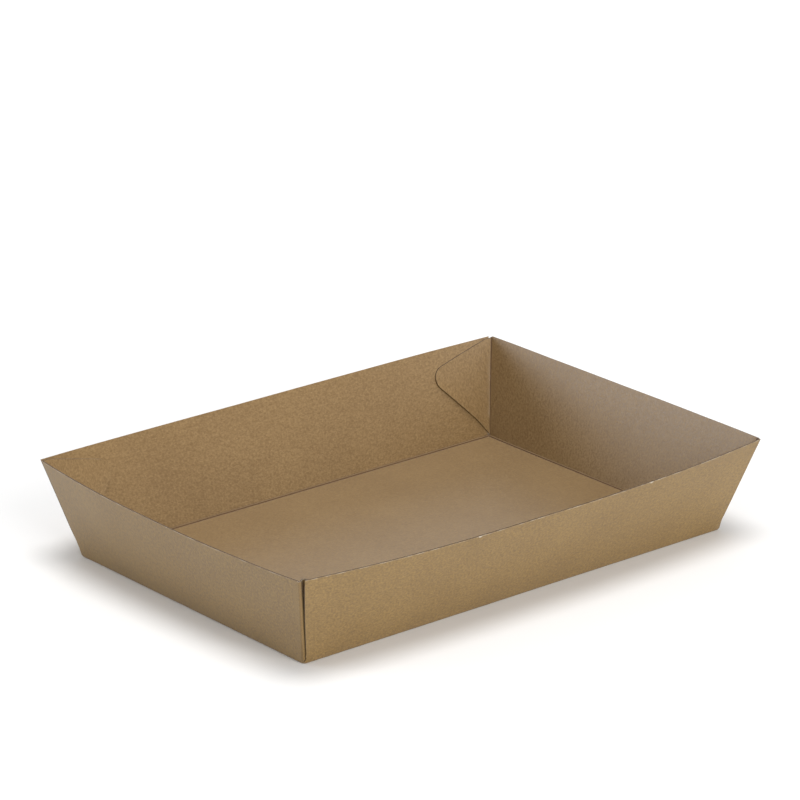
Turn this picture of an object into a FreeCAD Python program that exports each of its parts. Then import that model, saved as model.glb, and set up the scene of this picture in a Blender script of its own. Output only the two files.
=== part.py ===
import FreeCAD, Part
import math
import os
from collections import namedtuple

V = FreeCAD.Vector

# Outside sizes of the folded tray, in millimetres, from corner to corner
rim_length = 252.0
rim_width = 178.0
rim_height = 43.0
base_length = 230.0
base_width = 152.0

# Board, inner radius of an upright fold, and the bead that a crease raises on the inside of a floor fold
board = 0.5
inner_radius = 0.5
bead_width = 0.9
bead_rise = 0.18

# The free rims spring outward between the corners. The power says how flat that bow is in the middle
long_bow = 5.2
end_bow = 4.0
bow_power = 2.6

# The cut end of a long wall: it leaves the floor's corner, steps back along a slanted nick and runs up to the rim
seam_setback = 0.3
nick_setback = 1.4
nick_height = 4.0

# Outline of a glue tab, measured in from its corner fold, and down from the rim or up from the table
tab_shoulder = 4.0
tab_top_gap = 0.5
tab_reach = 36.9
tab_peak_drop = 8.7
tab_nose_radius = 5.2
tab_foot_height = 2.6

# Height where the upright folds begin, and how deep a glued tab is pressed on
fold_foot = 0.8
glue_sink = 0.08

# Sections that carry the curves of a panel, of a tab and of an upright fold
panel_steps = 8
tab_steps = 4
turn_steps = 4

# Outer radius of every fold, and how much floor is made with a panel so that its crease bead has room
fold_radius = board + inner_radius
fold_margin = max(board + bead_width, fold_radius)

# A wall panel: distance of its fold from the middle, flare, half its rim and how far the rim bows out
Wall = namedtuple("Wall", "offset flare rim_half bow")

# A ruling is a straight line up a panel, named by where it crosses the fold and the rim
Ruling = namedtuple("Ruling", "base rim")

long_wall = Wall(base_width / 2, (rim_width - base_width) / 2, rim_length / 2, long_bow)
end_wall = Wall(base_length / 2, (rim_length - base_length) / 2, rim_width / 2, end_bow)


def slant(wall):
    """Height of a panel on the flat blank. It stays the same where the rim bows, so the rim dips there."""
    return math.hypot(wall.flare, rim_height)


def lean(wall, ruling):
    """Angle of the panel from upright along a ruling."""
    share = min(abs(ruling.rim) / wall.rim_half, 1.0)
    spring = wall.bow * (1 - share ** bow_power)
    return math.asin((wall.flare + spring) / slant(wall))


def fold_point(wall, ruling, inward, up):
    """Point beside the fold, measured in from the fold line and up from the table."""
    along = ruling.base + (ruling.rim - ruling.base) * up / rim_height
    return V(along, wall.offset - inward, up)


def panel_point(wall, ruling, run, depth):
    """Point on a ruling, measured up the panel from its fold line and in from its outer face."""
    angle = lean(wall, ruling)
    outward = run * math.sin(angle) - depth * math.cos(angle)
    up = run * math.cos(angle) + depth * math.sin(angle)
    return fold_point(wall, ruling, -outward, up)


def across(point):
    """Turns a point laid out on a long wall into the same place on an end wall."""
    return V(point.y, point.x, point.z)


def outline(corners):
    """Closed wire through corners. A corner given as a pair is the end of an arc and the arc's middle."""
    ends = [corner[1] if isinstance(corner, tuple) else corner for corner in corners]
    edges = []
    for i, corner in enumerate(corners):
        start = ends[i - 1]
        if isinstance(corner, tuple):
            edges.append(Part.Arc(start, corner[0], corner[1]).toShape())
        else:
            edges.append(Part.LineSegment(start, corner).toShape())
    return Part.Wire(edges)


def panel_section(wall, ruling):
    """Board profile on a ruling: floor strip, rounded fold outside, panel, and crease bead inside."""
    turn = math.pi / 2 - lean(wall, ruling)
    bend_in = math.sin(turn / 2)
    bend_up = math.cos(turn / 2)
    fold_start = fold_radius * math.tan(turn / 2)
    fold_cut = fold_radius / bend_up - fold_radius
    bead_start = board * math.tan(turn / 2) + bead_width
    bead_top = board / bend_up + bead_width * bend_in + bead_rise
    return [
        fold_point(wall, ruling, fold_margin, board),
        fold_point(wall, ruling, fold_margin, 0),
        fold_point(wall, ruling, fold_start, 0),
        (
            fold_point(wall, ruling, fold_cut * bend_in, fold_cut * bend_up),
            panel_point(wall, ruling, fold_start, 0),
        ),
        panel_point(wall, ruling, slant(wall), 0),
        panel_point(wall, ruling, slant(wall), board),
        panel_point(wall, ruling, bead_start, board),
        (
            fold_point(wall, ruling, bead_top * bend_in, bead_top * bend_up),
            fold_point(wall, ruling, bead_start, board),
        ),
    ]


def between(first, last, steps):
    """Evenly spread rulings from a first one to a last one."""
    rulings = []
    for i in range(steps + 1):
        share = i / steps
        base = first.base + (last.base - first.base) * share
        rim = first.rim + (last.rim - first.rim) * share
        rulings.append(Ruling(base, rim))
    return rulings


def set_back(wall, other, distance):
    """Ruling at a constant distance from the corner that a wall makes with the other one."""
    return Ruling(other.offset - distance, wall.rim_half - distance)


def loft(sections):
    return Part.makeLoft([outline(corners) for corners in sections], True, False)


def panel(wall, end):
    """Wall panel with its fold and a strip of floor, lofted from one cut end to the other."""
    far_end = Ruling(-end.base, -end.rim)
    return loft([panel_section(wall, ruling) for ruling in between(far_end, end, panel_steps)])


def end_point(setback, up):
    """Point beside the tray's corner, seen square to its length: back from the end wall and up from the table."""
    return V(end_wall.offset + end_wall.flare * up / rim_height - setback, 0, up)


def through(corners):
    """Solid with a flat outline that passes through the long wall on the +Y side."""
    return Part.Face(outline(corners)).extrude(V(0, rim_width, 0))


def long_panel():
    """Long wall with both ends cut along the seam that they make with the end walls."""
    reach = set_back(long_wall, end_wall, seam_setback)
    whole = panel(long_wall, reach)
    outside = -fold_radius
    above = rim_height + board
    seam = through([
        end_point(outside, board),
        end_point(seam_setback, board),
        end_point(nick_setback, nick_height),
        end_point(seam_setback, above),
        end_point(outside, above),
    ])
    return whole.cut(both_sides([seam], V(1, 0, 0)))


def strip(wall, ruling, depth):
    """Cross-section of upright board on a ruling, from the foot of the fold up to the rim."""
    top = slant(wall)
    return [
        panel_point(wall, ruling, fold_foot, depth),
        panel_point(wall, ruling, top, depth),
        panel_point(wall, ruling, top, depth + board),
        panel_point(wall, ruling, fold_foot, depth + board),
    ]


def turned(first, corner, last):
    """Sections of board that turn a corner. Each edge follows an arc from its first point to its last."""
    sections = []
    for i in range(turn_steps + 1):
        go = i / turn_steps
        weights = ((1 - go) ** 2, 2 * go * (1 - go) * math.cos(math.pi / 4), go ** 2)
        section = []
        for a, b, c in zip(first, corner, last):
            section.append((a * weights[0] + b * weights[1] + c * weights[2]) / sum(weights))
        sections.append(section)
    return sections


def corner_fold(fold_side, tab_root, tab_depth):
    """Upright fold that joins an end wall to its glue tab."""
    end_strip = [across(point) for point in strip(end_wall, fold_side, 0)]
    tab_strip = strip(long_wall, tab_root, tab_depth)
    end_edges = strip(end_wall, set_back(end_wall, long_wall, 0), 0)
    tab_edges = strip(long_wall, set_back(long_wall, end_wall, 0), tab_depth)
    meeting = [V(a.y, b.y, (a.z + b.z) / 2) for a, b in zip(end_edges, tab_edges)]
    return loft(turned(end_strip, meeting, tab_strip))


def tab_outline():
    """The tab is a triangle with a short level shoulder and a round nose."""
    root_top = end_point(0, rim_height - tab_top_gap)
    shoulder = end_point(tab_shoulder, rim_height - tab_top_gap)
    peak = end_point(tab_reach, rim_height - tab_peak_drop)
    foot = end_point(0, tab_foot_height)
    to_shoulder = (shoulder - peak).normalize()
    to_foot = (foot - peak).normalize()
    half_angle = to_shoulder.getAngle(to_foot) / 2
    tangent = tab_nose_radius / math.tan(half_angle)
    nose_cut = tab_nose_radius / math.sin(half_angle) - tab_nose_radius
    nose = peak + (to_shoulder + to_foot).normalize() * nose_cut
    return through([
        root_top,
        shoulder,
        peak + to_shoulder * tangent,
        (nose, peak + to_foot * tangent),
        foot,
    ])


def glue_tab(tab_root, tab_depth):
    """Tab that follows the inside of the bowed long wall, cut to its outline."""
    tab_end = set_back(long_wall, end_wall, tab_reach)
    band = loft([strip(long_wall, ruling, tab_depth) for ruling in between(tab_root, tab_end, tab_steps)])
    return band.common(tab_outline())


def mirrored(shape, direction):
    return shape.mirror(V(0, 0, 0), direction)


def both_sides(shapes, direction):
    return shapes + [mirrored(shape, direction) for shape in shapes]


def folded_tray():
    """The whole blank, folded and glued: a floor, four walls, and a fold and a tab at each corner."""
    lengthwise = V(1, 0, 0)
    crosswise = V(0, 1, 0)
    tab_depth = board - glue_sink
    fold_side = set_back(end_wall, long_wall, tab_depth + fold_radius)
    tab_root = set_back(long_wall, end_wall, fold_radius)

    floor_length = base_length - 2 * fold_margin
    floor_width = base_width - 2 * fold_margin
    floor = Part.makeBox(floor_length, floor_width, board, V(-floor_length / 2, -floor_width / 2, 0))
    end_panel = mirrored(panel(end_wall, fold_side), lengthwise - crosswise)
    corner = [corner_fold(fold_side, tab_root, tab_depth), glue_tab(tab_root, tab_depth)]

    pieces = both_sides([long_panel()], crosswise)
    pieces += both_sides([end_panel], lengthwise)
    pieces += both_sides(both_sides(corner, lengthwise), crosswise)
    return floor.multiFuse(pieces).removeSplitter()


os.makedirs("parts", exist_ok=True)
folded_tray().exportStep("parts/folded_tray.step")
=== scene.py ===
import math
from collections import namedtuple

import bmesh
import bpy
from mathutils import Matrix, Vector, noise


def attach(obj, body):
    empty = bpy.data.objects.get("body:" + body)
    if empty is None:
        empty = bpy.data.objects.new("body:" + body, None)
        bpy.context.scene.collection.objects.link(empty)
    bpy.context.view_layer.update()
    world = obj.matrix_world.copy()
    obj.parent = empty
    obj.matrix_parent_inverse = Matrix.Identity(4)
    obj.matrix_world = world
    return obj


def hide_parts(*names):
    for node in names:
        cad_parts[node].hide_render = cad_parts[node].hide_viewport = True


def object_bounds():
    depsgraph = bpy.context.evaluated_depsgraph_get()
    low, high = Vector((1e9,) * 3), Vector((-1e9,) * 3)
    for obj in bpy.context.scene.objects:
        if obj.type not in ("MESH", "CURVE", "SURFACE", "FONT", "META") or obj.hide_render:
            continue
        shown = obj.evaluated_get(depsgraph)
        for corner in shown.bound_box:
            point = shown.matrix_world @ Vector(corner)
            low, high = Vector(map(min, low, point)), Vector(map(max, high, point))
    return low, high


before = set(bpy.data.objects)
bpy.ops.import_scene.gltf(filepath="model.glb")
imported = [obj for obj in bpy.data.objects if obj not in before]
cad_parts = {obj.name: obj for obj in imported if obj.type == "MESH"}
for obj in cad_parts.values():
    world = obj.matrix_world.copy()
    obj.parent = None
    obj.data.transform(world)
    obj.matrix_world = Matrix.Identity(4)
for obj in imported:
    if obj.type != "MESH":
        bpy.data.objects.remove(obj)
cad_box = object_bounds()

# The folded tray's driving sizes, in metres, as in the part's source
RIM_LENGTH = 0.252
RIM_WIDTH = 0.178
RIM_HEIGHT = 0.043
BASE_LENGTH = 0.230
BASE_WIDTH = 0.152
BOARD = 0.0005
INNER_RADIUS = 0.0005
BEAD_WIDTH = 0.0009
BEAD_RISE = 0.00018
LONG_BOW = 0.0052
END_BOW = 0.0040
BOW_POWER = 2.6
TAB_SHOULDER = 0.0040
TAB_TOP_GAP = 0.0005
TAB_REACH = 0.0369
TAB_PEAK_DROP = 0.0087
TAB_NOSE_RADIUS = 0.0052
TAB_FOOT_HEIGHT = 0.0026
FOLD_RADIUS = BOARD + INNER_RADIUS

# The raised part of a crease's bead takes up this much of its width on each side of the bend
BEAD_REACH = 0.62 * BEAD_WIDTH

# A tab lies close to the inside of its long wall, and the middle of its lower edge lifts a little.
# The first part of that edge drops towards the upright fold
TAB_CLEARANCE = 0.00003
TAB_DEPTH = BOARD + TAB_CLEARANCE
TAB_LIFT = 0.00035
ROOT_DROP = 0.0022
ROOT_DROP_SHARE = 1 / 3

# Width of the creased border of the floor, and of the folded end of each wall
BORDER = TAB_DEPTH + FOLD_RADIUS

Wall = namedtuple("Wall", "offset flare rim_half bow")
LONG = Wall(BASE_WIDTH / 2, (RIM_WIDTH - BASE_WIDTH) / 2, RIM_LENGTH / 2, LONG_BOW)
END = Wall(BASE_LENGTH / 2, (RIM_LENGTH - BASE_LENGTH) / 2, RIM_WIDTH / 2, END_BOW)

# What differs from corner to corner, as (height, distance) pairs: how far the long wall's cut end stays
# short of the corner, how far the upright fold stands out, and how far the tab bulges in behind the wall.
# The toe is how far the corner of the floor pokes out, and the flare how far the end wall's rim springs out
# with its fold and tab
Corner = namedtuple("Corner", "cut stand hollow toe flare")
CORNERS = {
    (-1, -1): Corner(
        [(0, 0.0003), (0.0026, 0.0017), (0.0034, 0.0011), (0.005, 0.0015), (0.012, 0.00135), (0.023, 0.0012),
         (0.040, 0.0014), (0.0425, 0.0020)],
        [(0, -0.0002), (0.006, -0.0001), (0.013, 0.00015), (0.023, 0.00025), (0.042, 0.0005)],
        [(0.004, 0.0), (0.008, 0.0006), (0.025, 0.0014), (0.043, 0.0026)],
        0.0,
        0.0019,
    ),
    (1, -1): Corner(
        [(0, 0.0003), (0.003, 0.0013), (0.008, 0.0008), (0.024, 0.00035), (0.043, -0.00024)],
        [(0, 0.0), (0.015, 0.0), (0.043, -0.0012)],
        [(0, 0.0)],
        0.0012,
        0.0018,
    ),
    (1, 1): Corner(
        [(0, 0.0003), (0.0034, 0.0012), (0.012, 0.0008), (0.043, 0.0006)],
        [(0, 0.0), (0.043, 0.0002)],
        [(0, 0.0)],
        0.0003,
        0.0021,
    ),
    (-1, 1): Corner(
        [(0, 0.0003), (0.0034, 0.0008), (0.012, 0.0003), (0.043, 0.0001)],
        [(0, 0.0)],
        [(0, 0.0)],
        0.0003,
        0.0003,
    ),
}

# How far from the corner each of these is felt, and the heights where the flare begins and the toe ends.
# The upright fold stands out most a bit before the middle of its turn
FLARE_FOOT = 0.003
FLARE_REACH = 0.075
TOE_REACH = 0.02
TOE_HEIGHT = 0.008
HOLLOW_PEAK = 0.004
HOLLOW_REACH = 0.034
STAND_TURN = 1.4

# Steps of the mesh along the walls, up a panel, across the border, round a fold and along a tab
LONG_STEPS = 84
END_STEPS = 60
PANEL_STEPS = 24
BORDER_STEPS = 2
ARC_STEPS = 6
FOLD_STEPS = BORDER_STEPS + ARC_STEPS
TURN_STEPS = 2 * FOLD_STEPS
TAB_STEPS = 18
SHOULDER_STEPS = 2
NOSE_STEPS = 8
TAB_COLUMNS = TAB_STEPS + NOSE_STEPS

# Height of the last row under a rim, how the rows crowd towards the fold, and the columns of a tab and the
# rows of a corner over which its points change over from their neighbour's
RIM_ROW = 0.0005
ROW_CROWDING = 1.5
TAB_BLEND = 6
FOOT_BLEND = 4
WELD = 2e-6

# Slow unevenness of the folded board, full from a small height on, and the same in each run
WAVE = 0.00016
WAVE_LENGTH = 0.045
WAVE_PLACE = Vector((3.1, 7.7, 1.3))
WAVE_FOOT = 0.01
WAVE_SEED = 7

# The middle of the floor rises a little from its border on, and only the board of the floor does
FLOOR_RISE = 0.0002
RISE_LENGTH = 0.06
RISE_MARGIN = 0.03
RISE_HEIGHT = 0.003

# Chamfer left on the cut edges, and the angle from which an edge of the mesh shows as sharp
EDGE_CHAMFER = 0.00006
SHARP_ANGLE = math.radians(28)

# What the finish needs to know of each point: folded band, line beside it, and cut rim close by
MARKS = ("crease", "line", "rim")
# The small square between the creases at a corner gets the crease darkening too, with its painted shade
PLAIN = (0, 0, 0)
SQUARE_MARKS = (1, 0.5, 0)
LINE_STEPS = 2
FOLD_CREASE = 6
FOLD_LINE = 5

# Places of the corner's patches on the flat blank, which only the grain follows
UPRIGHT_FLAT_SHARE = 0.85
UPRIGHT_FLAT_STEP = 0.0003
BORDER_FLAT_STEP = 0.0002
TAB_FLAT_GAP = 0.01

# Kraft board's colours, linear
KRAFT_DARK = (0.162, 0.095, 0.0325, 1)
KRAFT_LIGHT = (0.305, 0.200, 0.083, 1)
KRAFT_FLECK = (0.11, 0.058, 0.02, 1)
KRAFT_PALE = (0.40, 0.30, 0.17, 1)
# Pressed board's browner tone in creases and corner folds, which also paints the shade of these bends
KRAFT_PRESSED_SHADE = (0.088, 0.040, 0.011, 1)
# Pale fibres of the cut burr and of the nicks; along the outside of the rim it also paints a highlight
KRAFT_BURR_AND_HIGHLIGHT = (0.50, 0.43, 0.32, 1)
KRAFT_WARM = (0.235, 0.12, 0.03, 1)
KRAFT_CUT = (0.06, 0.028, 0.008, 1)
KRAFT_OUTSIDE = (0.905, 0.865, 0.62, 1)

# Layers of the board's grain: size of the features in millimetres, and weight in the light and dark
MILLIMETRES = (1000, 1000, 1000)
Grain = namedtuple("Grain", "size detail rough weight")
CLOUDS = Grain(28, 3, 0.5, 0.12)
CLUMPS = Grain(2.6, 1, 0.5, 0.11)
MOTTLE = Grain(1.05, 2, 0.6, 0.45)
FIBRES = Grain(0.6, 2, 0.5, 0.32)
FIBRE_STRETCH = (0.5, 1.5, 1)
TONE_LOW = 0.34
TONE_HIGH = 0.68

# Specks and patches: where their noise begins and ends to show, and the least and the most that shows
Specks = namedtuple("Specks", "size detail low high least most")
DARK_SPECKS = Specks(0.75, 1, 0.66, 0.78, 0, 0.5)
PALE_SPECKS = Specks(0.6, 1, 0.68, 0.8, 0, 0.4)
BURR_AND_HIGHLIGHT_PATCHES = Specks(5, 2, 0.42, 0.62, 0.1, 0.8)
CUT_TUFTS = Specks(1.6, 2, 0.58, 0.7, 0, 0.8)

# Shares of the colours inside, and of the darkening in a crease and on its line: the pressed board's browner
# tone together with painted shade of the bend. Also how much of that darkening shows outside. The grain
# of the inside is taken from another place than that of the outside, in millimetres
WARM_SHARE = 0.2
CREASE_SHADE_SHARE = 0.36
LINE_SHADE_SHARE = 0.6
OUTSIDE_PRESSED_SHADE = 0.2
INSIDE_SHIFT = 41.0

# Two spots on the front rim where the blank was held in its sheet, in millimetres on the flat blank
NICKS = ((-33.8, -120.9), (53.5, -120.9))
NICK_CORE = 0.5
NICK_EDGE = 1.1

# Roughness of the board's face over the range of its mottle, and what the inside, a crease and a cut edge
# change of it
MOTTLE_LOW = 0.3
MOTTLE_HIGH = 0.7
ROUGH_LOW = 0.45
ROUGH_HIGH = 0.57
INSIDE_SMOOTHER = 0.15
PRESSED_ROUGHER = 0.4
CUT_ROUGHER = 0.3
BUMP_FIBRES = 0.6
BUMP_MOTTLE = 0.8
BUMP_STRENGTH = 0.45
BUMP_DISTANCE = 0.00008
SPECULAR = 0.5
SHEEN = 0.16
SHEEN_ROUGHNESS = 0.5

# Softboxes: where each one stands, seen from the tray, and its strength
SOFTBOX_ANGLE = math.radians(30)
SOFTBOXES = {
    "top_box": ((0.04, 0, 1), 1.70),
    "front_box": ((-0.1, -0.9, 0.45), 1.0),
    "low_front_box": ((0.1, -0.98, 0.12), 1.52),
    "window": ((-0.65, 0.72, 0.2), 0.93),
    "back_window": ((0.6, 0.72, 0.45), 0.12),
}
ROOM_LIGHT = 0.485

# White table
TABLE_HALF = 4.0
TABLE_COLOUR = (0.88, 0.88, 0.88, 1)
TABLE_ROUGHNESS = 0.8

# Camera, from the photograph's own lines
CAMERA_AZIMUTH = math.radians(-39.794)
CAMERA_ELEVATION = math.radians(19.817)
CAMERA_DISTANCE = 1.8366
CAMERA_LENS = 192.9
CAMERA_SENSOR = 36
CAMERA_CLIP = 20
AIM_HEIGHT = 0.025
AIM_RIGHT = -0.00105
AIM_UP = 0.0380


def between(table, value):
    """Reads a table of (place, value) pairs with straight lines between them."""
    previous = table[0]
    for entry in table[1:]:
        if value <= entry[0]:
            share = (value - previous[0]) / (entry[0] - previous[0])
            return previous[1] + (entry[1] - previous[1]) * max(share, 0)
        previous = entry
    return previous[1]


def spread(steps):
    """Even shares from -1 to 1."""
    return [-1 + 2 * i / steps for i in range(steps + 1)]


def slant(wall):
    """Height of a panel on the flat blank."""
    return math.hypot(wall.flare, RIM_HEIGHT)


def lean(wall, rim):
    """Angle of the panel from upright, on the straight line up to a place on the rim."""
    share = min(abs(rim) / wall.rim_half, 1)
    return math.asin((wall.flare + wall.bow * (1 - share ** BOW_POWER)) / slant(wall))


def fold_point(base, rim, wall, inward, up):
    """Along, out and up from the middle of the tray, beside a wall's fold."""
    return Vector((base + (rim - base) * up / RIM_HEIGHT, wall.offset - inward, up))


def panel_point(base, rim, wall, run, depth):
    """Along, out and up on a wall: run up the panel and depth in from its outside."""
    angle = lean(wall, rim)
    outward = run * math.sin(angle) - depth * math.cos(angle)
    up = run * math.cos(angle) + depth * math.sin(angle)
    return fold_point(base, rim, wall, -outward, up)


def arc(start, corner, end, weight, share):
    """Point on the round stretch that starts towards a corner and ends away from it."""
    a = (1 - share) ** 2
    b = 2 * share * (1 - share) * weight
    c = share ** 2
    return (start * a + corner * b + end * c) / (a + b + c)


def row_share(row):
    """Share of the way up a panel: rows lie closer together near the fold, and the last one is narrow."""
    if row == PANEL_STEPS:
        return 1
    return (1 - RIM_ROW / RIM_HEIGHT) * (row / (PANEL_STEPS - 1)) ** ROW_CROWDING


def panel_start(wall, rim, inside):
    """Distance from the fold line at which a wall's bend, or its bead inside, goes over into the panel."""
    turn = math.pi / 2 - lean(wall, rim)
    if inside:
        return BOARD * math.tan(turn / 2) + BEAD_REACH
    return FOLD_RADIUS * math.tan(turn / 2)


def border_point(base, rim, wall, step, inside):
    """Section of a wall's border and fold: strip of floor, then the bend outside or the bead inside."""
    turn = math.pi / 2 - lean(wall, rim)
    depth = BOARD if inside else 0
    start = panel_start(wall, rim, inside)
    first = fold_point(base, rim, wall, start, depth)
    if step <= BORDER_STEPS:
        return fold_point(base, rim, wall, BORDER, depth).lerp(first, step / BORDER_STEPS)
    last = panel_point(base, rim, wall, start, depth)
    share = (step - BORDER_STEPS) / ARC_STEPS
    if not inside:
        return arc(first, fold_point(base, rim, wall, 0, 0), last, math.cos(turn / 2), share)
    rise = BOARD / math.cos(turn / 2) + BEAD_REACH * math.sin(turn / 2) + BEAD_RISE
    middle = fold_point(base, rim, wall, rise * math.sin(turn / 2), rise * math.cos(turn / 2))
    return arc(first, middle * 2 - (first + last) / 2, last, 1, share)


def wall_point(base, rim, wall, step, inside):
    """Point of a wall's whole section, from the floor's border over the fold and up to the rim."""
    if step <= FOLD_STEPS:
        return border_point(base, rim, wall, step, inside)
    start = panel_start(wall, rim, inside)
    share = row_share(step - FOLD_STEPS)
    return panel_point(base, rim, wall, start + (slant(wall) - start) * share, BOARD if inside else 0)


def upright_point(wall, other, setback, up, depth):
    """Point on a wall near a corner: setback from the corner, height, and depth in from the outside."""
    base = other.offset - setback
    rim = wall.rim_half - setback
    angle = lean(wall, rim)
    return panel_point(base, rim, wall, (up - depth * math.sin(angle)) / math.cos(angle), depth)


def long_place(point, sx, sy):
    """Takes a point of a long wall, laid out beside the corner at +X and +Y, to one of the four corners."""
    return Vector((point.x * sx, point.y * sy, point.z))


def end_place(point, sx, sy):
    """The same for a point of an end wall."""
    return Vector((point.y * sx, point.x * sy, point.z))


def corner_of(x, y):
    """What is special at the corner nearest to a place."""
    return CORNERS[1 if x > 0 else -1, 1 if y > 0 else -1]


def flare_at(corner, y, up):
    """How far an end wall springs out beside a corner, by the place along it and the height."""
    near = max(0, 1 - (LONG.rim_half - abs(y)) / FLARE_REACH)
    return corner.flare * near * max(0, up - FLARE_FOOT) / (RIM_HEIGHT - FLARE_FOOT)


def sided_place(point, side):
    """Point of a long wall, on one side of the tray."""
    return long_place(point, 1, side)


def flared_place(point, side):
    """Point of an end wall, with the spring of its rim beside the corners."""
    placed = end_place(point, side, 1)
    spring = flare_at(corner_of(placed.x, placed.y), placed.y, placed.z)
    return placed + Vector((side * spring, 0, 0))


def poke(point):
    """How far the foot of a corner sticks out at a point."""
    near_end = min(max(0, 1 - (END.offset - abs(point.x)) / TOE_REACH), 1)
    near_side = min(max(0, 1 - (LONG.offset - abs(point.y)) / TOE_REACH), 1)
    low = max(0, 1 - point.z / TOE_HEIGHT)
    return math.copysign(corner_of(point.x, point.y).toe * (near_end * near_side * low) ** 2, point.x)


def settled(point):
    """Moves a point with the slow unevenness of the board, and keeps it inside the part's own box."""
    upward = min(point.z / WAVE_FOOT, 1)
    sway = noise.noise_vector(point / WAVE_LENGTH + WAVE_PLACE) * WAVE
    margin = min(END.offset - abs(point.x), LONG.offset - abs(point.y), RISE_MARGIN) / RISE_MARGIN
    flatness = max(0, 1 - point.z / RISE_HEIGHT)
    rise = FLOOR_RISE * max(margin, 0) * (1 + noise.noise(point / RISE_LENGTH)) * flatness
    moved = point + Vector((sway.x + poke(point), sway.y, sway.z * upward + rise))
    low, high = cad_box
    return Vector(min(max(moved[axis], low[axis]), high[axis]) for axis in range(3))


def add_values(mesh, name, domain, values):
    """Gives a mesh a named value for each point or face."""
    mesh.attributes.new(name, "FLOAT", domain).data.foreach_set("value", values)


class Blank:
    """One sheet of board, laid patch by patch. Each point has a place on the outside and on the inside."""

    def __init__(self):
        self.mesh = bmesh.new()
        layers = self.mesh.verts.layers
        self.inner = layers.float_vector.new("inner")
        self.flat = layers.float_vector.new("flat")
        self.marks = {mark: layers.float.new(mark) for mark in MARKS}

    def patch(self, columns, rows, point, flat, marks):
        """Lays a grid of points. The marks of a point say how much it is creased, lined or at the rim."""
        grid = []
        for i in range(columns + 1):
            line = []
            for j in range(rows + 1):
                vertex = self.mesh.verts.new(point(i, j, False))
                vertex[self.inner] = point(i, j, True)
                vertex[self.flat] = flat(i, j)
                for mark, value in zip(MARKS, marks(i, j)):
                    vertex[self.marks[mark]] = value
                line.append(vertex)
            grid.append(line)
        for i in range(columns):
            for j in range(rows):
                self.mesh.faces.new((grid[i][j], grid[i + 1][j], grid[i + 1][j + 1], grid[i][j + 1]))

    def solid(self, name):
        """Joins the patches, gives the sheet its inner skin and closes it along the cut edges."""
        bmesh.ops.remove_doubles(self.mesh, verts=self.mesh.verts, dist=WELD)
        bmesh.ops.recalc_face_normals(self.mesh, faces=self.mesh.faces)
        self.mesh.verts.index_update()
        vertices = list(self.mesh.verts)
        count = len(vertices)
        faces = [[vertex.index for vertex in face.verts] for face in self.mesh.faces]
        skins = faces + [[index + count for index in reversed(face)] for face in faces]
        cuts = []
        for edge in self.mesh.edges:
            if edge.is_boundary:
                loop = edge.link_loops[0]
                a, b = loop.vert.index, loop.link_loop_next.vert.index
                cuts.append((b, a, a + count, b + count))
        places = [settled(vertex.co) for vertex in vertices]
        places += [settled(Vector(vertex[self.inner])) for vertex in vertices]
        mesh = bpy.data.meshes.new(name)
        mesh.from_pydata(places, [], skins + cuts)
        flat = mesh.attributes.new("flat", "FLOAT_VECTOR", "POINT")
        flat.data.foreach_set("vector", [c for vertex in vertices * 2 for c in vertex[self.flat]])
        for mark, layer in self.marks.items():
            add_values(mesh, mark, "POINT", [vertex[layer] for vertex in vertices * 2])
        add_values(mesh, "inside", "POINT", [0.0] * count + [1.0] * count)
        add_values(mesh, "cut", "FACE", [0.0] * len(skins) + [1.0] * len(cuts))
        self.mesh.free()
        return mesh


def lay_floor(blank, long_shares, end_shares):
    """The floor inside its creased border."""
    def point(i, j, inside):
        x = long_shares[i] * (END.offset - BORDER)
        y = end_shares[j] * (LONG.offset - BORDER)
        return Vector((x, y, BOARD if inside else 0))

    def flat(i, j):
        return point(i, j, False)

    blank.patch(len(long_shares) - 1, len(end_shares) - 1, point, flat, lambda i, j: PLAIN)


def lay_wall(blank, wall, other, shares, place, side):
    """One wall between its two corner folds."""
    def ruling(i):
        return shares[i] * (other.offset - BORDER), shares[i] * (wall.rim_half - BORDER)

    def point(i, j, inside):
        base, rim = ruling(i)
        return place(wall_point(base, rim, wall, j, inside), side)

    def run(j):
        if j <= FOLD_STEPS:
            return -BORDER + 2 * BORDER * j / FOLD_STEPS
        return BORDER + (slant(wall) - BORDER) * row_share(j - FOLD_STEPS)

    def flat(i, j):
        return place(Vector((ruling(i)[0], wall.offset + run(j), 0)), side)

    def marks(i, j):
        crease = BORDER_STEPS <= j <= FOLD_STEPS
        line = BORDER_STEPS <= j <= BORDER_STEPS + LINE_STEPS
        return crease, line, j == FOLD_STEPS + PANEL_STEPS

    blank.patch(len(shares) - 1, FOLD_STEPS + PANEL_STEPS, point, flat, marks)


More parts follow.
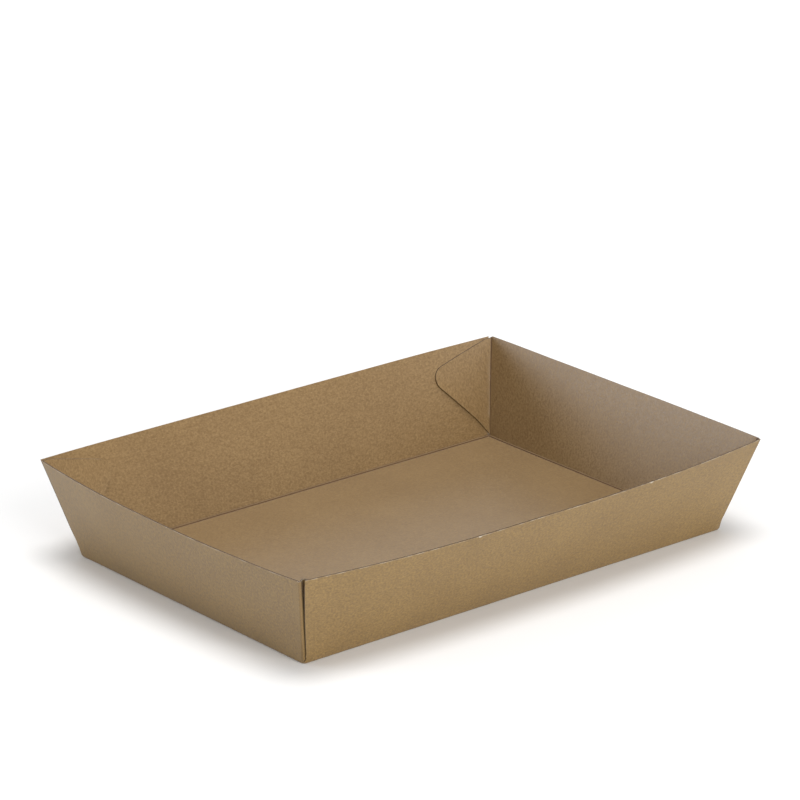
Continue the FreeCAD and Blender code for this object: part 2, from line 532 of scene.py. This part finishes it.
def tab_curves():
    """Lower and upper outline of a tab, from its root to the tip of its nose, as (along, up) pairs."""
    def place(setback, up):
        return Vector((END.offset + END.flare * up / RIM_HEIGHT - setback, up))

    top = RIM_HEIGHT - TAB_TOP_GAP
    shoulder = place(TAB_SHOULDER, top)
    peak = place(TAB_REACH, RIM_HEIGHT - TAB_PEAK_DROP)
    foot = place(0, TAB_FOOT_HEIGHT)
    to_shoulder = (shoulder - peak).normalized()
    to_foot = (foot - peak).normalized()
    half_angle = to_shoulder.angle(to_foot) / 2
    tangent = TAB_NOSE_RADIUS / math.tan(half_angle)
    middle = (to_shoulder + to_foot).normalized()
    nose = peak + middle * (TAB_NOSE_RADIUS / math.sin(half_angle) - TAB_NOSE_RADIUS)
    low_root = foot.lerp(peak, FOLD_RADIUS / TAB_REACH)
    high_root = place(FOLD_RADIUS, top)
    low_end = peak + to_foot * tangent
    high_end = peak + to_shoulder * tangent
    half_turn = (math.pi / 2 - half_angle) / 2
    low, high = [], []
    for j in range(TAB_STEPS + 1):
        share = j / TAB_STEPS
        drop = ROOT_DROP * max(0, 1 - share / ROOT_DROP_SHARE) ** 2
        low.append(low_root.lerp(low_end, share) - Vector((0, drop)))
        if j <= SHOULDER_STEPS:
            high.append(high_root.lerp(shoulder, j / SHOULDER_STEPS))
        else:
            high.append(shoulder.lerp(high_end, (j - SHOULDER_STEPS) / (TAB_STEPS - SHOULDER_STEPS)))
    for j in range(1, NOSE_STEPS + 1):
        for curve, end, direction in ((low, low_end, to_foot), (high, high_end, to_shoulder)):
            corner = end - direction * TAB_NOSE_RADIUS * math.tan(half_turn)
            curve.append(arc(end, corner, nose, math.cos(half_turn), j / NOSE_STEPS))
    return low, high


def tab_point(corner, spot, lift, inside):
    """Point of a tab. The tab turns with the end wall that springs out, so its nose sinks."""
    setback = END.offset + END.flare * spot.y / RIM_HEIGHT - spot.x
    up = spot.y - corner.flare / RIM_HEIGHT * setback
    spring = flare_at(corner, LONG.offset + LONG.flare * up / RIM_HEIGHT, up)
    if setback < HOLLOW_PEAK:
        bulge = math.sin(math.pi / 2 * setback / HOLLOW_PEAK) ** 2
    else:
        bulge = max(0, 1 - (setback - HOLLOW_PEAK) / (HOLLOW_REACH - HOLLOW_PEAK)) ** 2
    depth = TAB_DEPTH + lift + between(corner.hollow, up) * bulge + (BOARD if inside else 0)
    return upright_point(LONG, END, setback - spring, up, depth)


def lay_corner(blank, sx, sy):
    """The long wall's cut end, the upright fold, its glued tab and the small square between the creases."""
    corner = CORNERS[sx, sy]
    low, high = tab_curves()

    def upright_fold(i, k, inside):
        """Column i round the fold, from the end wall to the tab's root, and row k up it."""
        go = i / TURN_STEPS
        share = row_share(k)
        depth = BOARD if inside else 0
        start = panel_start(END, END.rim_half - BORDER, inside)
        run = start + (slant(END) - start) * share
        first = panel_point(LONG.offset - BORDER, END.rim_half - BORDER, END, run, depth)
        first = Vector((first.y + flare_at(corner, first.x, first.z), first.x, first.z))
        root = low[0].lerp(high[0], share)
        end = tab_point(corner, root, 0, inside)
        outer = upright_point(END, LONG, 0, first.z, depth)
        other = upright_point(LONG, END, 0, root.y, TAB_DEPTH + depth)
        meeting = Vector((outer.y + flare_at(corner, outer.x, outer.z), other.y, (first.z + end.z) / 2))
        point = arc(first, meeting, end, math.cos(math.pi / 4), go)
        point.y += between(corner.stand, point.z) * math.sin(math.pi * min(go * STAND_TURN, 1)) ** 2
        return point

    def cut_end(i, k, inside):
        """Column i from the long wall's border ruling out to its cut end, and row k up it."""
        rim_guess = LONG.rim_half - BORDER
        start = panel_start(LONG, rim_guess, inside)
        run = start + (slant(LONG) - start) * row_share(k)
        height = run * math.cos(lean(LONG, rim_guess))
        setback = BORDER + (between(corner.cut, height) - BORDER) * i / FOLD_STEPS
        depth = BOARD if inside else 0
        return panel_point(END.offset - setback, LONG.rim_half - setback, LONG, run, depth)

    def drawn(point, function, share, k, inside):
        """Draws the foot of a patch to the place where the cut between the long wall and the tab begins."""
        meeting = (upright_fold(FOLD_STEPS, 0, inside) + cut_end(FOLD_STEPS, 0, inside)) / 2
        fade = max(0, 1 - k / FOOT_BLEND) * share
        return point + (meeting - function(FOLD_STEPS, 0, inside)) * fade

    def cut_end_at(i, k, inside):
        return drawn(cut_end(i, k, inside), cut_end, i / FOLD_STEPS, k, inside)

    def fold_at(i, k, inside):
        share = 1 - abs(i - FOLD_STEPS) / FOLD_STEPS
        return drawn(upright_fold(i, k, inside), upright_fold, share, k, inside)

    def square_at(i, j, inside):
        """Small square of floor between the two creases, blended from its four sides."""
        u, v = i / FOLD_STEPS, j / FOLD_STEPS

        def along_long(step):
            return wall_point(END.offset - BORDER, LONG.rim_half - BORDER, LONG, step, inside)

        def along_end(step):
            return end_place(wall_point(LONG.offset - BORDER, END.rim_half - BORDER, END, step, inside), 1, 1)

        near = along_long(i) * (1 - v) + along_end(j) * (1 - u)
        far = fold_at(i, 0, inside) * v + cut_end_at(j, 0, inside) * u
        near_corners = along_long(0) * (1 - u) * (1 - v) + along_long(FOLD_STEPS) * u * (1 - v)
        far_corners = along_end(FOLD_STEPS) * (1 - u) * v + cut_end_at(FOLD_STEPS, 0, inside) * u * v
        return near + far - near_corners - far_corners

    def tab_at(i, k, inside):
        share = k / PANEL_STEPS
        share = row_share(k) + (share - row_share(k)) * min(i / TAB_BLEND, 1)
        spot = low[i].lerp(high[i], share)
        lift = TAB_LIFT * (1 - share) ** 3 * math.sin(math.pi * i / TAB_COLUMNS) if i < TAB_COLUMNS else 0
        return tab_point(corner, spot, lift, inside)

    def placed(function):
        return lambda i, j, inside: long_place(function(i, j, inside), sx, sy)

    def flat_place(x, y):
        return long_place(Vector((x, y, 0)), sx, sy)

    def flat_upright(i, k):
        y = LONG.rim_half * UPRIGHT_FLAT_SHARE + i * UPRIGHT_FLAT_STEP
        return flat_place(END.offset + slant(END) * row_share(k), y)

    def flat_cut_end(i, k):
        x = END.offset - BORDER + i * BORDER_FLAT_STEP
        return flat_place(x, LONG.offset + slant(LONG) * row_share(k))

    def flat_square(i, j):
        x = END.offset - BORDER + j * BORDER_FLAT_STEP
        return flat_place(x, LONG.offset - BORDER + i * BORDER_FLAT_STEP)

    def flat_tab(i, k):
        spot = low[i].lerp(high[i], k / PANEL_STEPS)
        return flat_place(END.offset + spot.y, LONG.offset + END.offset - spot.x + TAB_FLAT_GAP)

    def cut_end_marks(i, k):
        return k == 0, k == 0, k == PANEL_STEPS

    def fold_marks(i, k):
        away = abs(i - FOLD_STEPS)
        return away <= FOLD_CREASE, away <= FOLD_LINE, k == PANEL_STEPS

    def tab_marks(i, k):
        return 0, 0, k in (0, PANEL_STEPS) or i == TAB_COLUMNS

    blank.patch(FOLD_STEPS, PANEL_STEPS, placed(cut_end_at), flat_cut_end, cut_end_marks)
    blank.patch(TURN_STEPS, PANEL_STEPS, placed(fold_at), flat_upright, fold_marks)
    blank.patch(FOLD_STEPS, FOLD_STEPS, placed(square_at), flat_square, lambda i, j: SQUARE_MARKS)
    blank.patch(TAB_COLUMNS, PANEL_STEPS, placed(tab_at), flat_tab, tab_marks)


def chamfered(mesh):
    """Takes the sharpness off every cut edge of the board."""
    solid = bmesh.new()
    solid.from_mesh(mesh)
    cut = solid.faces.layers.float["cut"]
    edges = [edge for edge in solid.edges if len({face[cut] for face in edge.link_faces}) == 2]
    bmesh.ops.bevel(solid, geom=edges, offset=EDGE_CHAMFER, segments=1, affect="EDGES", clamp_overlap=True)
    solid.to_mesh(mesh)
    solid.free()
    return mesh


class Finish:
    """A node material with short calls for the few kinds of node that it uses."""

    def __init__(self, name):
        self.material = bpy.data.materials.new(name)
        self.material.use_nodes = True
        self.tree = self.material.node_tree
        self.shader = self.tree.nodes["Principled BSDF"]

    def node(self, kind, inputs, **settings):
        node = self.tree.nodes.new(kind)
        for name, value in settings.items():
            setattr(node, name, value)
        for name, value in inputs.items():
            self.feed(node.inputs[name], value)
        return node

    def feed(self, socket, value):
        """Links a socket to another one, or gives it a value."""
        if isinstance(value, bpy.types.NodeSocket):
            self.tree.links.new(value, socket)
        else:
            socket.default_value = value

    def attribute(self, name, output="Fac"):
        return self.node("ShaderNodeAttribute", {}, attribute_name=name).outputs[output]

    def calc(self, operation, a, b, clamp=False):
        return self.node("ShaderNodeMath", {0: a, 1: b}, operation=operation, use_clamp=clamp).outputs[0]

    def plus(self, a, b, clamp=False):
        return self.calc("ADD", a, b, clamp)

    def times(self, a, b, clamp=False):
        return self.calc("MULTIPLY", a, b, clamp)

    def vector(self, operation, a, b, output="Vector"):
        return self.node("ShaderNodeVectorMath", {0: a, 1: b}, operation=operation).outputs[output]

    def grain(self, vector, size, detail, rough=0.5):
        """Noise from about 0 to 1, whose features are a given number of millimetres across."""
        inputs = {"Vector": vector, "Scale": 1 / size, "Detail": detail, "Roughness": rough}
        return self.node("ShaderNodeTexNoise", inputs).outputs["Fac"]

    def layer(self, vector, kind):
        """One of the board's layers of grain."""
        return self.grain(vector, kind.size, kind.detail, kind.rough)

    def specks(self, vector, kind):
        """Where specks or patches of a kind show, and how much."""
        shown = self.grain(vector, kind.size, kind.detail)
        return self.ramp(shown, kind.low, kind.high, kind.least, kind.most)

    def ramp(self, value, low, high, to_low=0.0, to_high=1.0):
        inputs = {"Value": value, "From Min": low, "From Max": high, "To Min": to_low, "To Max": to_high}
        return self.node("ShaderNodeMapRange", inputs, interpolation_type="SMOOTHSTEP").outputs["Result"]

    def mix(self, share, a, b, blend="MIX"):
        node = self.node("ShaderNodeMix", {}, data_type="RGBA", blend_type=blend)
        for socket, value in ((node.inputs[0], share), (node.inputs[6], a), (node.inputs[7], b)):
            self.feed(socket, value)
        return node.outputs[2]


def face_colour(finish, spot, inside, outside, mottle, fibres):
    """Colour of the board's face: cloudy, mottled and fibrous, with specks, and warmer inside."""
    tone = finish.times(finish.layer(spot, CLOUDS), CLOUDS.weight)
    tone = finish.plus(tone, finish.times(finish.layer(spot, CLUMPS), CLUMPS.weight))
    tone = finish.plus(tone, finish.times(mottle, MOTTLE.weight))
    tone = finish.plus(tone, finish.times(fibres, FIBRES.weight))
    colour = finish.mix(finish.ramp(tone, TONE_LOW, TONE_HIGH), KRAFT_DARK, KRAFT_LIGHT)
    colour = finish.mix(finish.specks(spot, DARK_SPECKS), colour, KRAFT_FLECK)
    mirrored = finish.vector("MULTIPLY", spot, (1, -1, 1))
    colour = finish.mix(finish.specks(mirrored, PALE_SPECKS), colour, KRAFT_PALE)
    colour = finish.mix(finish.times(inside, WARM_SHARE), colour, KRAFT_WARM)
    return finish.mix(outside, colour, KRAFT_OUTSIDE, "MULTIPLY")


def pressed_and_shaded_share(finish, inside):
    """How much a crease darkens the board, most of it inside: the pressed board's browner tone and painted
    shade of the bend.
    """
    crease = finish.times(finish.attribute("crease"), CREASE_SHADE_SHARE)
    line = finish.times(finish.attribute("line"), LINE_SHADE_SHARE)
    seen = finish.ramp(inside, 0, 1, OUTSIDE_PRESSED_SHADE, 1)
    return finish.times(finish.plus(crease, line), seen, clamp=True)


def kraft():
    """Uncoated kraft board: cloudy, mottled and fibrous, browner on its cut edges, darker where creased from
    pressing and painted shade, and pale in patches along its rim from burr and a painted highlight.
    """
    finish = Finish("kraft")
    inside = finish.attribute("inside")
    outside = finish.ramp(inside, 0, 1, 1, 0)
    cut = finish.attribute("cut")
    millimetres = finish.vector("MULTIPLY", finish.attribute("flat", "Vector"), MILLIMETRES)
    shift = finish.node("ShaderNodeCombineXYZ", {"Z": finish.times(inside, INSIDE_SHIFT)}).outputs[0]
    spot = finish.vector("ADD", millimetres, shift)
    mottle = finish.layer(spot, MOTTLE)
    fibres = finish.layer(finish.vector("MULTIPLY", spot, FIBRE_STRETCH), FIBRES)

    colour = face_colour(finish, spot, inside, outside, mottle, fibres)
    # Pale burr in patches on the outside just under the rim, which also paints the rim's highlight
    burr_and_highlight = finish.times(finish.attribute("rim"), outside)
    burr_and_highlight = finish.times(burr_and_highlight, finish.specks(spot, BURR_AND_HIGHLIGHT_PATCHES))
    colour = finish.mix(burr_and_highlight, colour, KRAFT_BURR_AND_HIGHLIGHT)
    # Crease darkening: the pressed board's browner tone and painted shade of the bends and corner folds
    pressed_and_shaded = pressed_and_shaded_share(finish, inside)
    colour = finish.mix(pressed_and_shaded, colour, KRAFT_PRESSED_SHADE)
    edge = finish.mix(finish.specks(spot, CUT_TUFTS), KRAFT_CUT, KRAFT_PALE)
    colour = finish.mix(cut, colour, edge)
    for x, y in NICKS:
        away = finish.vector("DISTANCE", spot, (x, y, 0), "Value")
        colour = finish.mix(finish.ramp(away, NICK_CORE, NICK_EDGE, 1, 0), colour, KRAFT_BURR_AND_HIGHLIGHT)
    finish.feed(finish.shader.inputs["Base Color"], colour)

    rough = finish.ramp(mottle, MOTTLE_LOW, MOTTLE_HIGH, ROUGH_LOW, ROUGH_HIGH)
    rough = finish.calc("SUBTRACT", rough, finish.times(inside, INSIDE_SMOOTHER))
    rough = finish.plus(rough, finish.times(pressed_and_shaded, PRESSED_ROUGHER))
    rough = finish.plus(rough, finish.times(cut, CUT_ROUGHER), clamp=True)
    finish.feed(finish.shader.inputs["Roughness"], rough)
    height = finish.plus(finish.times(fibres, BUMP_FIBRES), finish.times(mottle, BUMP_MOTTLE))
    inputs = {"Strength": BUMP_STRENGTH, "Distance": BUMP_DISTANCE, "Height": height}
    bump = finish.node("ShaderNodeBump", inputs)
    finish.feed(finish.shader.inputs["Normal"], bump.outputs["Normal"])
    finish.shader.inputs["Specular IOR Level"].default_value = SPECULAR
    finish.shader.inputs["Sheen Weight"].default_value = SHEEN
    finish.shader.inputs["Sheen Roughness"].default_value = SHEEN_ROUGHNESS
    return finish.material


def make_tray():
    """The whole folded and glued sheet, as one piece."""
    noise.seed_set(WAVE_SEED)
    long_shares = spread(LONG_STEPS)
    end_shares = spread(END_STEPS)
    blank = Blank()
    lay_floor(blank, long_shares, end_shares)
    for side in (-1, 1):
        lay_wall(blank, LONG, END, long_shares, sided_place, side)
        lay_wall(blank, END, LONG, end_shares, flared_place, side)
    for sx, sy in CORNERS:
        lay_corner(blank, sx, sy)
    mesh = chamfered(blank.solid("kraft_tray"))
    mesh.polygons.foreach_set("use_smooth", [True] * len(mesh.polygons))
    mesh.set_sharp_from_angle(angle=SHARP_ANGLE)
    tray = bpy.data.objects.new("kraft_tray", mesh)
    bpy.context.scene.collection.objects.link(tray)
    mesh.materials.append(kraft())
    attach(tray, "root")
    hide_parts("folded_tray")


def make_camera():
    """Looks at the tray from where the photograph was taken."""
    away = Vector((
        math.sin(CAMERA_AZIMUTH) * math.cos(CAMERA_ELEVATION),
        -math.cos(CAMERA_AZIMUTH) * math.cos(CAMERA_ELEVATION),
        math.sin(CAMERA_ELEVATION),
    ))
    right = Vector((math.cos(CAMERA_AZIMUTH), math.sin(CAMERA_AZIMUTH), 0))
    up = away.cross(right)
    aim = Vector((0, 0, AIM_HEIGHT)) + right * AIM_RIGHT + up * AIM_UP
    data = bpy.data.cameras.new("camera")
    data.lens = CAMERA_LENS
    data.sensor_width = CAMERA_SENSOR
    data.clip_end = CAMERA_CLIP
    camera = bpy.data.objects.new("camera", data)
    turn = Matrix((right, up, away)).transposed()
    camera.matrix_world = Matrix.Translation(aim + away * CAMERA_DISTANCE) @ turn.to_4x4()
    bpy.context.scene.collection.objects.link(camera)
    bpy.context.scene.camera = camera


def make_stage():
    """A large plain table, level with the underside of the tray."""
    mesh = bpy.data.meshes.new("floor")
    half = TABLE_HALF
    corners = [(-half, -half, 0), (half, -half, 0), (half, half, 0), (-half, half, 0)]
    mesh.from_pydata(corners, [], [(0, 1, 2, 3)])
    floor = bpy.data.objects.new("floor", mesh)
    bpy.context.scene.collection.objects.link(floor)
    white = bpy.data.materials.new("white_table")
    white.use_nodes = True
    shader = white.node_tree.nodes["Principled BSDF"]
    shader.inputs["Base Color"].default_value = TABLE_COLOUR
    shader.inputs["Roughness"].default_value = TABLE_ROUGHNESS
    mesh.materials.append(white)


def soft_light(name, direction, strength):
    """A large far softbox, seen in a direction from the tray. It lights all of the table alike."""
    data = bpy.data.lights.new(name, "SUN")
    data.energy = strength
    data.angle = SOFTBOX_ANGLE
    lamp = bpy.data.objects.new(name, data)
    lamp.rotation_euler = Vector(direction).to_track_quat("Z", "Y").to_euler()
    bpy.context.scene.collection.objects.link(lamp)


def make_lights():
    """The softboxes and the white room around them."""
    for name, (direction, strength) in SOFTBOXES.items():
        soft_light(name, direction, strength)
    world = bpy.data.worlds.new("studio")
    world.use_nodes = True
    background = world.node_tree.nodes["Background"]
    background.inputs["Color"].default_value = (1, 1, 1, 1)
    background.inputs["Strength"].default_value = ROOM_LIGHT
    bpy.context.scene.world = world
    bpy.context.scene.view_settings.view_transform = "Standard"


make_tray()
make_camera()
make_stage()
make_lights()
